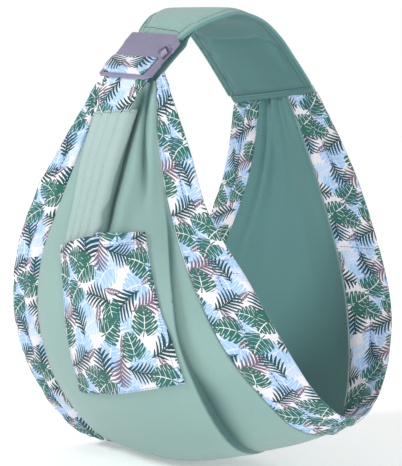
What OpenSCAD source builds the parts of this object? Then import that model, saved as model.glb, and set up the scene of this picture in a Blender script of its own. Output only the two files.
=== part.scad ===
// Soft one-shoulder baby carrier: a padded shoulder strap, a side-release
// buckle, and a wide fabric pouch held between two padded rails.
// Lengths are in mm. +Z is up, the pocket faces -Y, +X is the wearer's left.
// The origin is on the underside of the shoulder pad, at its highest point.

/* [Pouch] */
// Width of the pouch from one rail's outer edge to the other's, along X
pouch_w = 440; // [400:5:470]
// Depth of the loop from the front panel to the back panel, along Y
loop_depth = 360; // [330:5:390]
// Height from the shoulder pad's underside down to the seat
drop = 575; // [540:5:610]
// Thickness of the pouch fabric with its lining
fabric_t = 2.4; // [1.6:0.2:3]
// Thickness of the padded rails
rail_t = 10; // [8:0.5:12]
// Thickness of the rails' printed cover
rail_cover_t = 1.6; // [1.2:0.1:2]

/* [Shoulder pad] */
// Width of the pad at its highest point
pad_w = 122; // [110:2:130]
// Thickness of the pad
pad_t = 9; // [8:0.5:11]
// Thickness of the pad's cover and of its lining
pad_cover_t = 1.6; // [1.2:0.1:2]

/* [Buckle] */
// Width of the buckle
buckle_w = 72; // [71:1:74]
// Length of the closed buckle along the strap
buckle_l = 84; // [84:1:88]
// Thickness of the buckle's socket
buckle_t = 13; // [13:0.5:15]
// Slope of the buckle below the horizontal, in degrees
buckle_tilt = 38; // [34:1:40]

/* [Straps and pocket] */
// Width of the printed adjuster strap
strap_w = 54; // [50:1:55]
// Thickness of the adjuster strap
strap_t = 1.2; // [1:0.1:1.3]
// Thickness of the pin-tucked strap
rib_t = 2.2; // [1.8:0.2:2.6]
// How far the pocket's mouth stands off the front panel
pocket_gape = 14; // [12:1:16]
// Gap left between neighbouring soft pieces
seam_gap = 0.5; // [0.4:0.1:0.8]

/* [Hidden] */
sx = pouch_w / 440;
sy = loop_depth / 360;
sz = drop / 575;

// Stations of the right rail, from the front gather round the seat to the
// back hem, at the size where each scale is 1: free edge, then sewn edge
right_out = [[51, -130, -75], [74, -110, -165], [110, -115, -245],
    [165, -110, -320], [205, -100, -385], [230, -65, -450],
    [240, -15, -485], [232, 50, -480], [215, 110, -430],
    [180, 163, -350], [122, 175, -210], [69, 155, -92.6]];
right_in = [[38, -127, -84], [38, -124, -165], [60, -125, -250],
    [105, -140, -325], [150, -140, -395], [180, -105, -455],
    [195, -50, -500], [190, 30, -510], [172, 85, -452],
    [130, 133, -345], [70, 158, -215], [25, 149, -97.8]];
// Stations of the left rail, in the same order
left_out = [[-40, -147, -86], [-85, -168, -165], [-130, -170, -230],
    [-170, -165, -315], [-195, -137, -405], [-205, -80, -495],
    [-200, 0, -560], [-195, 80, -530], [-180, 140, -440],
    [-160, 170, -340], [-120, 190, -215], [-66, 150, -104.6]];
left_in = [[-26, -149, -92], [-54, -160, -165], [-80, -170, -230],
    [-115, -172, -310], [-140, -150, -395], [-150, -100, -485],
    [-150, -10, -562], [-140, 70, -530], [-130, 120, -440],
    [-110, 160, -345], [-65, 180, -215], [-22, 152, -100.6]];
// How far the middle of the pouch panel stands out of its seams, by station
bulge = [1, 16, 32, 42, 45, 40, 30, 24, 20, 16, 10, 3];
// Pad stations from the buckle to the back hem: x, y and z of the underside,
// then the width, and how far the right edge is ahead of and above the left
pad_st = [[-3, -75.8, -32.1, 66, 9, -5], [-1, -58, -18, 80, 6, -8],
    [0, -32, -6, 102, 3, -8], [0, 0, 0, 122, 0, -4],
    [0, 42, -11, 130, 0, 3], [0, 76, -33, 134, 0, 8],
    [0, 105, -59, 134, 0, 12], [0, 130, -83, 134, 0, 16],
    [1, 148, -103, 135, 0, 18]];
// Corner marks of the pin-tucked strap on the panel: s, left u, right u
rib_marks = [[0.041, 0, 0.66], [0.05, 0.02, 0.64], [0.1, 0.07, 0.59],
    [0.175, 0.18, 0.52], [0.245, 0.25, 0.52]];
// Where the buckle's top edge crosses the pad's end, and how it is turned
buckle_at = [-2, -83, -32];
buckle_roll = 5;
buckle_turn = 8;

// ---- curves ----
function unit(v) = v / norm(v);
function scaled(P) = [for (p = P) [p[0] * sx, p[1] * sy, p[2] * sz]];
function spline(a, b, c, d, t) = 0.5 * (2 * b + (c - a) * t
    + (2 * a - 5 * b + 4 * c - d) * t * t
    + (3 * b - a - 3 * c + d) * t * t * t);
function at(P, s) = let (n = len(P) - 1, q = max(0, min(0.999999, s)) * n,
    i = floor(q))
    spline(P[max(0, i - 1)], P[i], P[min(n, i + 1)], P[min(n, i + 2)], q - i);
function steps(a, b, n) = [for (i = [0:n]) a + (b - a) * i / n];

ro = scaled(right_out);
ri = scaled(right_in);
lo = scaled(left_out);
li = scaled(left_in);

// ---- solids from grids of points ----
// A slab between two grids of the same size, the outer one first
module slab(A, B, flip = false) {
    n = len(A);
    m = len(A[0]);
    P = concat([for (r = A) for (p = r) p], [for (r = B) for (p = r) p]);
    o = n * m;
    F = concat(
        [for (i = [0:n - 2]) for (k = [0:m - 2]) for (f = [
            [i * m + k, i * m + k + 1, (i + 1) * m + k + 1],
            [i * m + k, (i + 1) * m + k + 1, (i + 1) * m + k]]) f],
        [for (i = [0:n - 2]) for (k = [0:m - 2]) for (f = [
            [o + i * m + k, o + (i + 1) * m + k + 1, o + i * m + k + 1],
            [o + i * m + k, o + (i + 1) * m + k, o + (i + 1) * m + k + 1]]) f],
        [for (i = [0:n - 2]) for (f = [
            [i * m, (i + 1) * m, o + (i + 1) * m],
            [i * m, o + (i + 1) * m, o + i * m],
            [i * m + m - 1, o + (i + 1) * m + m - 1, (i + 1) * m + m - 1],
            [i * m + m - 1, o + i * m + m - 1, o + (i + 1) * m + m - 1]]) f],
        [for (k = [0:m - 2]) for (f = [
            [k, o + k + 1, k + 1], [k, o + k, o + k + 1],
            [(n - 1) * m + k, (n - 1) * m + k + 1, o + (n - 1) * m + k + 1],
            [(n - 1) * m + k, o + (n - 1) * m + k + 1, o + (n - 1) * m + k]]) f]);
    polyhedron(points = P, faces = flip ? [for (f = F) [f[2], f[1], f[0]]] : F);
}

// A closed solid through rings of points
module rings(R, flip = false) {
    n = len(R);
    m = len(R[0]);
    F = concat(
        [for (i = [0:n - 2]) for (k = [0:m - 1]) for (f = [
            [i * m + k, i * m + (k + 1) % m, (i + 1) * m + (k + 1) % m],
            [i * m + k, (i + 1) * m + (k + 1) % m, (i + 1) * m + k]]) f],
        [for (k = [1:m - 2]) [0, k + 1, k]],
        [for (k = [1:m - 2]) [(n - 1) * m, (n - 1) * m + k, (n - 1) * m + k + 1]]);
    polyhedron(points = [for (r = R) for (p = r) p],
        faces = flip ? [for (f = F) [f[2], f[1], f[0]]] : F);
}

// An open-ended tube between outer and inner rings
module sleeve(A, B, flip = false) {
    n = len(A);
    m = len(A[0]);
    o = n * m;
    F = concat(
        [for (i = [0:n - 2]) for (k = [0:m - 1]) let (q = (k + 1) % m) for (f = [
            [i * m + k, i * m + q, (i + 1) * m + q],
            [i * m + k, (i + 1) * m + q, (i + 1) * m + k],
            [o + i * m + k, o + (i + 1) * m + q, o + i * m + q],
            [o + i * m + k, o + (i + 1) * m + k, o + (i + 1) * m + q]]) f],
        [for (k = [0:m - 1]) let (q = (k + 1) % m, e = (n - 1) * m) for (f = [
            [k, o + q, q], [k, o + k, o + q],
            [e + k, e + q, o + e + q], [e + k, o + e + q, o + e + k]]) f]);
    polyhedron(points = concat([for (r = A) for (p = r) p],
        [for (r = B) for (p = r) p]),
        faces = flip ? [for (f = F) [f[2], f[1], f[0]]] : F);
}

// ---- rails ----
// The flat-oval ring of a rail at s, shrunk all round by e
oval = [for (k = [0:9]) let (a = 36 * k) [sign(cos(a)) * pow(abs(cos(a)), 0.7),
    sign(sin(a)) * pow(abs(sin(a)), 0.8)]];
function rail_ring(O, I, s, e) = let (
    o = at(O, s), i = at(I, s), c = (o + i) / 2, w = unit(o - i),
    d = (at(O, s + 0.01) + at(I, s + 0.01)
        - at(O, s - 0.01) - at(I, s - 0.01)) / 2,
    t = unit(d - w * (d * w)), n = cross(t, w),
    a = norm(o - i) / 2 - e, b = rail_t / 2 - e)
    [for (p = oval) c + w * (a * p[0]) + n * (b * p[1])];
rail_mid = 6 / 11;
function rail_rings(O, I, a, b, e) = [for (s = steps(a, b, 11))
    rail_ring(O, I, s, e)];
module rail_cover(O, I, a, b, flip) {
    sleeve(rail_rings(O, I, a, b, 0), rail_rings(O, I, a, b, rail_cover_t), flip);
}
// The same rings with the first and last drawn in a little along the solid
function drawn_in(R) = let (n = len(R) - 1, k = 0.05) concat(
    [R[0] * (1 - k) + R[1] * k], [for (i = [1:n - 1]) R[i]],
    [R[n] * (1 - k) + R[n - 1] * k]);
module rail_core(O, I, a, b, flip) {
    rings(drawn_in(rail_rings(O, I, a, b, rail_cover_t + 0.4)), flip);
}
front_a = 0.001;
front_b = rail_mid - 0.001;
back_a = rail_mid + 0.001;
back_b = 0.998;

// ---- pouch panel ----
function swell(s) = at([for (b = bulge) [b, 0, 0]], s)[0];
function pan(u, s) = let (l = at(li, s), r = at(ri, s), c = r - l,
    t = at(li, s + 0.01) + at(ri, s + 0.01)
        - at(li, s - 0.01) - at(ri, s - 0.01),
    n = unit(cross(t, c)))
    l + c * u + n * (swell(s) * (1 - pow(2 * u - 1, 2)));
function pan_n(u, s) = unit(cross(pan(u, s + 0.005) - pan(u, s - 0.005),
    pan(min(1, u + 0.01), s) - pan(max(0, u - 0.01), s)));
function pan_w(s) = norm(at(ri, s) - at(li, s));
function pan_off(u, s, h) = pan(u, s) + pan_n(u, s) * h;
// Stretch of the panel between the seams from s = a to s = b
function pouch_grid(a, b, n, m, h) = [for (s = steps(a, b, n))
    let (e = (seam_gap + 0.3) / pan_w(s))
    [for (u = steps(e, 1 - e, m)) pan_off(u, s, h)]];
module pouch(a, b, n, m) {
    slab(pouch_grid(a, b, n, m, fabric_t / 2),
        pouch_grid(a, b, n, m, -fabric_t / 2));
}
module front_panel() {
    color("#a4c0bb") pouch(0.004, 0.462, 15, 12);
}
module seat_panel() {
    color("#9bb9b4") pouch(0.4625, 0.6255, 7, 12);
}
module back_panel() {
    color("#5b8584") pouch(0.626, 0.997, 11, 10);
}

// Binding that holds the gathers, behind the panel's top edge
module front_gather_band() {
    g = function (h) [for (s = [0.006, 0.045])
        [for (u = steps(0.08, 0.92, 6)) pan_off(u, s, h)]];
    color("#4c7879") slab(g(-fabric_t / 2 - 0.4), g(-fabric_t / 2 - 2.4));
}

module rail_left_front() {
    color("#e6e5e7") rail_cover(lo, li, front_a, front_b, true);
}
module rail_left_back() {
    color("#dfe6ee") rail_cover(lo, li, back_a, back_b, true);
}
module rail_right_front() {
    color("#e6e5e7") rail_cover(ro, ri, front_a, front_b, true);
}
module rail_right_back() {
    color("#dfe6ee") rail_cover(ro, ri, back_a, back_b - 0.001, true);
}
module rail_left_front_padding() {
    color("#f4f2ec") rail_core(lo, li, front_a, front_b, true);
}
module rail_left_back_padding() {
    color("#f4f2ec") rail_core(lo, li, back_a, back_b, true);
}
module rail_right_front_padding() {
    color("#f4f2ec") rail_core(ro, ri, front_a, front_b, true);
}
module rail_right_back_padding() {
    color("#f4f2ec") rail_core(ro, ri, back_a, back_b, true);
}

// ---- pocket and pin-tucked strap, laid on the panel ----
function rib_u(s, k) = lookup(s, [for (r = rib_marks) [r[0], r[k]]]);
module ribbed_strap() {
    h0 = fabric_t / 2 + seam_gap;
    g = function (h) [for (s = steps(0.042, 0.245, 8))
        [for (v = steps(0, 1, 6))
            pan_off(rib_u(s, 1) * (1 - v) + rib_u(s, 2) * v, s, h)]];
    color("#b6cac8") slab(g(h0 + rib_t), g(h0));
}

// v runs across the pocket, t from its mouth down to its bottom seam
function pocket_u(v, t) = let (l = 0.24 + 0.26 * t * (1 - t),
    r = 0.8 + 0.08 * t * (1 - t)) l + (r - l) * v;
function pocket_s(v, t) = let (a = 0.244 - 0.034 * v, b = 0.425 - 0.024 * v)
    a + (b - a) * t;
pocket_lift = fabric_t / 2 + seam_gap + 1.2;
function pocket_h(v, t) = pocket_lift
    + (rib_t + 0.8) * max(0, 1 - 4 * t) * max(0, 1 - 1.6 * v)
    + pocket_gape * pow(1 - t, 3) * pow(sin(180 * v), 1.3);
function pocket_grid(a, b, n, h) = [for (t = steps(a, b, n))
    [for (v = steps(0, 1, 10))
        pan_off(pocket_u(v, t), pocket_s(v, t), pocket_h(v, t) + h)]];
module pocket_panel() {
    color("#d3dad9") slab(pocket_grid(0.085, 1, 9, 0.8),
        pocket_grid(0.085, 1, 9, -0.8));
}
module pocket_hem() {
    color("#8fb0ad") slab(pocket_grid(0, 0.08, 1, 1.2),
        pocket_grid(0, 0.08, 1, -1.2));
}

// ---- shoulder pad ----
function pad_pt(s, x, h) = let (v = at(pad_st, s), a = at(pad_st, s + 0.01),
    b = at(pad_st, s - 0.01), d = [a[0] - b[0], a[1] - b[1], a[2] - b[2]],
    t = unit(d), w0 = unit([v[3], v[4], v[5]]), n = unit(cross(w0, t)),
    w = cross(t, n))
    [v[0], v[1], v[2]] + w * (x * v[3] * pad_w / 244) + n * h;
pad_low = pad_cover_t + 0.3;
// Half-oval over the foam, from the left edge to the right one
function pad_arc(s, e, low) = [for (k = [0:8]) let (a = 180 - 22.5 * k,
    hw = at(pad_st, s)[3] * pad_w / 244)
    pad_pt(s, sign(cos(a)) * pow(abs(cos(a)), 0.45) * (1 - e / hw),
        low + (pad_t - e - low) * pow(abs(sin(a)), 0.55))];
pad_end = 0.945;
module pad_cover() {
    color("#a0bcb8") slab([for (s = steps(0, pad_end, 16)) pad_arc(s, 0, pad_low)],
        [for (s = steps(0, pad_end, 16)) pad_arc(s, pad_cover_t, pad_low)], true);
}
module pad_foam() {
    color("#f4f2ec") rings(drawn_in([for (s = steps(0, pad_end, 16))
        concat(pad_arc(s, pad_cover_t + 0.4, pad_low + 0.3),
            [for (x = [0.5, 0, -0.5]) pad_pt(s, x, pad_low + 0.3)])]), true);
}
module pad_lining() {
    color("#4c7879") slab([for (s = steps(0, pad_end, 16))
        [for (x = steps(-1, 1, 4)) pad_pt(s, x, pad_cover_t)]],
        [for (s = steps(0, pad_end, 16)) [for (x = steps(-1, 1, 4)) pad_pt(s, x, 0)]],
        true);
}
// Binding across the pad's back end, where the pouch is sewn in
module pad_back_hem() {
    g = function (h) [for (s = [pad_end + 0.006, 0.985])
        [for (x = steps(-1, 1, 4)) pad_pt(s, x, h)]];
    color("#dfe6ee") slab(g(pad_t), g(0), true);
}

// ---- buckle: x across, y up the strap, z outward, y = 0 at the lower bar ----
module on_buckle() {
    translate(buckle_at) rotate([buckle_tilt, buckle_roll, buckle_turn])
        translate([0, -buckle_l, 0]) children();
}
bw = buckle_w / 2;
neck = 38;
wall = 3.5;
cav = bw - 4.5 - wall;
win_a = 46;
win_b = buckle_l - 21;

module round_bar(w, h, r) {
    square([w - 2 * r, h], center = true);
    square([w, h - 2 * r], center = true);
    for (x = [-1, 1], z = [-1, 1])
        translate([x * (w / 2 - r), z * (h / 2 - r)]) circle(r, $fn = 32);
}
// A flat-oval bar along y, from y = a to y = b
module along_y(a, b) {
    translate([0, b, 0]) rotate([90, 0, 0]) linear_extrude(b - a) children();
}

module buckle_socket() {
    half = [[0, neck], [cav + wall - 1, neck], [cav + wall, neck + 1],
        [cav + wall, win_a], [cav + wall + 1, win_b - 1], [bw, win_b + 3],
        [bw, buckle_l - 4], [bw - 4, buckle_l], [0, buckle_l]];
    outline = concat(half, [for (i = [len(half) - 1:-1:0]) [-half[i][0], half[i][1]]]);
    color("#86839a") on_buckle() difference() {
        intersection() {
            linear_extrude(buckle_t, center = true) polygon(outline);
            along_y(neck - 1, buckle_l + 1) round_bar(buckle_w, buckle_t, 4);
        }
        // Room for the plug's guide and arms
        translate([-cav, neck - 1, -3.8]) cube([2 * cav, win_b + 4 - neck, 7.6]);
        // Side windows for the finger pads; the right-hand one opens in front too
        for (k = [-1, 1]) translate([k * (cav - 2 + 10), (win_a + win_b) / 2, 0])
            cube([20, win_b - win_a, 8.4], center = true);
        translate([0, 0, -3]) linear_extrude(20) polygon([[bw + 1, win_a - 2],
            [cav, win_a - 2], [cav - 3, win_a + 1], [cav - 4.6, win_a + 6],
            [cav - 4, win_a + 12], [cav - 1, win_b - 0.5], [cav + 4, win_b + 2],
            [bw + 1, win_b + 1]]);
        // Slot for the pad's tab, behind the plate, and its way in over the bar
        translate([-bw + 6, buckle_l - 13.5, -buckle_t])
            cube([2 * bw - 12, 7, buckle_t + 3.2]);
        translate([-bw + 6, buckle_l - 8, -1.5])
            cube([2 * bw - 12, 10, 4.7]);
    }
}

module buckle_plug() {
    color("#95939f") on_buckle() union() {
        difference() {
            intersection() {
                translate([0, 18.75, 0]) cube([buckle_w, 37.5, 20], center = true);
                along_y(-1, 40) round_bar(buckle_w, 10, 4);
                linear_extrude(20, center = true) polygon([[-bw + 4, 0], [bw - 4, 0],
                    [bw, 4], [bw, 33], [cav + wall - 1, 37.5],
                    [-cav - wall + 1, 37.5], [-bw, 33], [-bw, 4]]);
            }
            // Lower and upper gaps of the ladder
            translate([-bw + 7, 3.8, -10]) cube([buckle_w - 14, 9.7, 20]);
            translate([-bw + 7, 27, -10]) cube([buckle_w - 14, 6.5, 20]);
            // The middle bar is thinner than the frame
            translate([-bw + 7, 13, 2]) cube([buckle_w - 14, 14.5, 10]);
            translate([-bw + 7, 13, -12]) cube([buckle_w - 14, 14.5, 10]);
            // The lower bar is thin, and the sides taper to it from behind
            rotate([90, 0, 90]) linear_extrude(2 * buckle_w, center = true)
                polygon([[-1, 1.2], [4, 1.2], [12, -5.1], [12, -20], [-1, -20]]);
        }
        // Guide between the arms
        translate([-4.5, 37, -3]) cube([9, win_b - 38, 6]);
    }
}

// Arm outline on the right-hand side; its pad swells gently enough to pass
// under the socket's bridge as the arm flexes in
arm_rate = 8.1;
pad_len = win_b - win_a - 3;
root_x = cav - 11.5;
function pad_x(a) = cav - 0.4
    + max(0, 0.001 * arm_rate * a * (a + 10) - 0.25);
module arm() {
    linear_extrude(6.4, center = true) polygon(concat(
        [[root_x, 37.9], [root_x + 3.5, 37.9], [root_x + 6.5, 41], [cav - 0.6, win_a - 1]],
        [for (a = [1:2:pad_len]) [pad_x(a), win_a + a]],
        [[cav - 0.6, win_b - 1.2], [cav - 3, win_b + 1.5], [root_x + 5.5, win_b + 1.5],
            [root_x + 5.5, 50], [root_x + 3, 43]]));
}
module latch_arm_right() {
    color("#a9a6bd") on_buckle() arm();
}
module latch_arm_left() {
    color("#a9a6bd") on_buckle() mirror([1, 0, 0]) arm();
}

// A folded band of thickness t through points in the buckle's y-z plane
function side(P, t, k) = [for (i = [0:len(P) - 1]) let (
    d = unit(P[min(i + 1, len(P) - 1)] - P[max(i - 1, 0)]))
    P[i] + [-d[1], d[0]] * (k * t / 2)];
module band(P, t, w) {
    L = side(P, t, 1);
    R = side(P, t, -1);
    rotate([90, 0, 90]) linear_extrude(w, center = true)
        polygon(concat(L, [for (i = [len(R) - 1:-1:0]) R[i]]));
}
// Printed strap threaded over the plug's middle bar
module adjuster_strap() {
    color("#d8dee0") on_buckle() band([[-4, -7.2], [10, -6.6], [24, -5],
        [28.6, -3.6], [30.6, 0], [28.6, 3.4], [24, 4.2], [16, 4.2],
        [12.2, 3.2], [9.6, 0], [7.4, -3.4], [3, -5], [-4, -5.4]],
        strap_t, strap_w);
}
// Its lower end, sewn to the pin-tucked strap
function buckle_pt(p) = let (a = buckle_tilt, b = buckle_roll, c = buckle_turn,
    q = [p[0], p[1] - buckle_l, p[2]],
    x = [q[0], q[1] * cos(a) - q[2] * sin(a), q[1] * sin(a) + q[2] * cos(a)],
    y = [x[0] * cos(b) + x[2] * sin(b), x[1], -x[0] * sin(b) + x[2] * cos(b)])
    buckle_at + [y[0] * cos(c) - y[1] * sin(c), y[0] * sin(c) + y[1] * cos(c), y[2]];
module strap_end() {
    h0 = fabric_t / 2 + seam_gap;
    g = function (h) concat(
        [for (p = [[2, -9.2], [-4, -8.7]]) [for (v = steps(-1, 1, 5))
            buckle_pt([v * strap_w / 2, p[0], p[1] + h - strap_t / 2])]],
        [for (q = [[0.01, 4.4], [0.027, 1.8], [0.041, 1.5]])
            [for (v = steps(0, 1, 5)) pan_off(0.66 * v, q[0], h0 + q[1] + h)]]);
    color("#d8dee0") slab(g(strap_t), g(0));
}

// Tab of webbing from the pad's end round the socket's bar
module pad_front_tab() {
    y = buckle_l;
    color("#8fb0ad") on_buckle() difference() {
        band([[y + 1.6, 0.9], [y - 4, 0.8], [y - 8.6, 0.2], [y - 9.8, -2.6],
            [y - 9.4, -6], [y - 7, -8], [y - 3, -8.3], [y + 1.6, -8.2]], 1.2,
            strap_w + 2);
        translate([-bw, y + 1, -20]) cube([buckle_w, 10, 40]);
    }
}

// Lining flap that lies behind the buckle
module buckle_backing_flap() {
    flap = [[110, -6.6, 38.5], [98, -7, 38], [91, -9.6, 38], [85, -11.4, 38], [60, -11.4, 37],
        [36, -11.4, 36], [22, -12.4, 36], [12, -19.5, 36], [2, -31, 35],
        [-9, -44, 34]];
    g = function (h) [for (p = flap) [for (v = steps(-1, 1, 4))
        buckle_pt([v * p[2], p[0], p[1] + h])]];
    color("#3f6c6e") slab(g(1.6), g(-1.6), false);
}

pad_cover();
pad_foam();
pad_lining();
pad_back_hem();
pad_front_tab();
buckle_backing_flap();
buckle_socket();
buckle_plug();
latch_arm_left();
latch_arm_right();
adjuster_strap();
strap_end();
ribbed_strap();
front_gather_band();
front_panel();
seat_panel();
back_panel();
rail_left_front();
rail_left_back();
rail_right_front();
rail_right_back();
rail_left_front_padding();
rail_left_back_padding();
rail_right_front_padding();
rail_right_back_padding();
pocket_panel();
pocket_hem();
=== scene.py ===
"""Looks of the soft baby carrier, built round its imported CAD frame.

Lengths in the shape code are in mm, in the CAD frame; meshes are made in metres.
s runs along the pouch from the front gather round the seat to the back hem,
and u runs across it from the left rail's seam to the right rail's seam.
"""

import math

import bmesh
import bpy
import numpy as np
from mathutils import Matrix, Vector


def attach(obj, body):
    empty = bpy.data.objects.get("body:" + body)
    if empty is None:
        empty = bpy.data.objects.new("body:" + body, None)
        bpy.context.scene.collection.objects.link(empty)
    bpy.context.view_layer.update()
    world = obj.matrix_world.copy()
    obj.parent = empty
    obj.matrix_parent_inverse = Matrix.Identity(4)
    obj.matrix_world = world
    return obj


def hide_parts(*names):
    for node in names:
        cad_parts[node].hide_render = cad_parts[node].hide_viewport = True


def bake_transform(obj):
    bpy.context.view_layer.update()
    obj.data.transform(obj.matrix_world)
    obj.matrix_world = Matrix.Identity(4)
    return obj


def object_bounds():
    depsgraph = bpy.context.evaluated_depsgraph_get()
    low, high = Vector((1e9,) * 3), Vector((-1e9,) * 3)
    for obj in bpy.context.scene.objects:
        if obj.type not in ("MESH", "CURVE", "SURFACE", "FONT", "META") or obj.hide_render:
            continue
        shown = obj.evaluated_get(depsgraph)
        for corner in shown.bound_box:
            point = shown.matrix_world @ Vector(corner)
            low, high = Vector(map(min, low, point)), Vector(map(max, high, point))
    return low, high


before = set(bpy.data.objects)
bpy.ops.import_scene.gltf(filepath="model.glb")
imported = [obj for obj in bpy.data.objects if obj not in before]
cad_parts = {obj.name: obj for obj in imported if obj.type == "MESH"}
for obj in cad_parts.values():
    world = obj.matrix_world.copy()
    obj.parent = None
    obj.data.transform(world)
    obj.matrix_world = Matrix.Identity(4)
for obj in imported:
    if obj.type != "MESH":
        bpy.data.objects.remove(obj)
cad_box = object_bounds()
scene = bpy.context.scene

# ---- camera, light and floor ----
AZIMUTH, ELEVATION, DISTANCE = math.radians(40), math.radians(4), 2.0
AIM = Vector((0, 0, -0.277))
SENSOR, LENS = 36, 120.7
WORLD_LIGHT = 0.48
FLOOR_DROP, FLOOR_HALF = 0.004, 30
back = Vector(
    (
        math.sin(AZIMUTH) * math.cos(ELEVATION),
        -math.cos(AZIMUTH) * math.cos(ELEVATION),
        math.sin(ELEVATION),
    )
)
camera = bpy.data.objects.new("camera", bpy.data.cameras.new("camera"))
scene.collection.objects.link(camera)
camera.data.sensor_width, camera.data.lens = SENSOR, LENS
camera.location = AIM + back * DISTANCE
camera.rotation_euler = (-back).to_track_quat("-Z", "Y").to_euler()
scene.camera = camera
scene.view_settings.view_transform = "Standard"


def lamp(name, at, size, watts):
    data = bpy.data.lights.new(name, "AREA")
    data.shape = "DISK"
    data.size, data.energy = size, watts
    ob = bpy.data.objects.new(name, data)
    ob.location = at
    ob.rotation_euler = (AIM - Vector(at)).to_track_quat("-Z", "Y").to_euler()
    scene.collection.objects.link(ob)


lamp("key", (-1.2, -2.1, 1.2), 0.8, 41)
lamp("fill", (2.6, -1.4, 0.1), 1.6, 34)
lamp("top", (0.3, 1.6, 2.2), 1.2, 16)

world = bpy.data.worlds.new("studio")
scene.world = world
world.use_nodes = True
wt = world.node_tree
wt.nodes.clear()
seen = wt.nodes.new("ShaderNodeLightPath")
lit, shown = (wt.nodes.new("ShaderNodeBackground") for _ in range(2))
lit.inputs["Strength"].default_value = WORLD_LIGHT
shown.inputs["Strength"].default_value = 1.0
for node in (lit, shown):
    node.inputs["Color"].default_value = (1, 1, 1, 1)
choose = wt.nodes.new("ShaderNodeMixShader")
wt.links.new(seen.outputs["Is Camera Ray"], choose.inputs[0])
wt.links.new(lit.outputs[0], choose.inputs[1])
wt.links.new(shown.outputs[0], choose.inputs[2])
wt.links.new(
    choose.outputs[0], wt.nodes.new("ShaderNodeOutputWorld").inputs["Surface"]
)


# ---- node formulas ----
class Val:
    """A number in a node tree, so that a pattern is written as a formula."""

    def __init__(self, tree, socket):
        self.tree, self.socket = tree, socket

    def op(self, name, *others):
        node = self.tree.nodes.new("ShaderNodeMath")
        node.operation = name
        for k, x in enumerate((self, *others)):
            if isinstance(x, Val):
                self.tree.links.new(x.socket, node.inputs[k])
            else:
                node.inputs[k].default_value = x
        return Val(self.tree, node.outputs[0])

    def __add__(self, x):
        return self.op("ADD", x)

    def __sub__(self, x):
        return self.op("SUBTRACT", x)

    def __mul__(self, x):
        return self.op("MULTIPLY", x)

    def __lt__(self, x):
        return self.op("LESS_THAN", x)

    def __gt__(self, x):
        return self.op("GREATER_THAN", x)

    def __abs__(self):
        return self.op("ABSOLUTE")

    def flip(self):
        return (self * -1) + 1

    def power(self, x):
        return self.op("MAXIMUM", 0.0).op("POWER", x)

    def saw(self):
        """Distance from the middle of each repeat, 0 to 0.5."""
        return abs(self.op("FRACT") - 0.5)

    def both(self, x):
        return self.op("MAXIMUM", x)


def vec(tree, operation, *values):
    node = tree.nodes.new("ShaderNodeVectorMath")
    node.operation = operation
    for k, x in enumerate(values):
        if isinstance(x, bpy.types.NodeSocket):
            tree.links.new(x, node.inputs[k])
        elif isinstance(x, (int, float)):
            node.inputs["Scale"].default_value = x
        else:
            node.inputs[k].default_value = x
    return node.outputs[0]


def linear(rgb):
    """sRGB from 0 to 255 as linear colour."""
    c = np.array(rgb) / 255
    c = np.where(c < 0.04045, c / 12.92, ((c + 0.055) / 1.055) ** 2.4)
    return (*map(float, c), 1.0)


def mixed(tree, by, low, high, mode="MIX"):
    """Colour between low and high; each, and the factor, is a value or a socket."""
    m = tree.nodes.new("ShaderNodeMix")
    m.data_type, m.blend_type = "RGBA", mode
    for name, x in (("Factor", by), ("A", low), ("B", high)):
        if isinstance(x, bpy.types.NodeSocket):
            tree.links.new(x, m.inputs[name])
        else:
            m.inputs[name].default_value = x
    return m.outputs["Result"]


# ---- leaf print: one repeat of scattered leaves on a pale ground ----
REPEAT = 128.0


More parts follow.
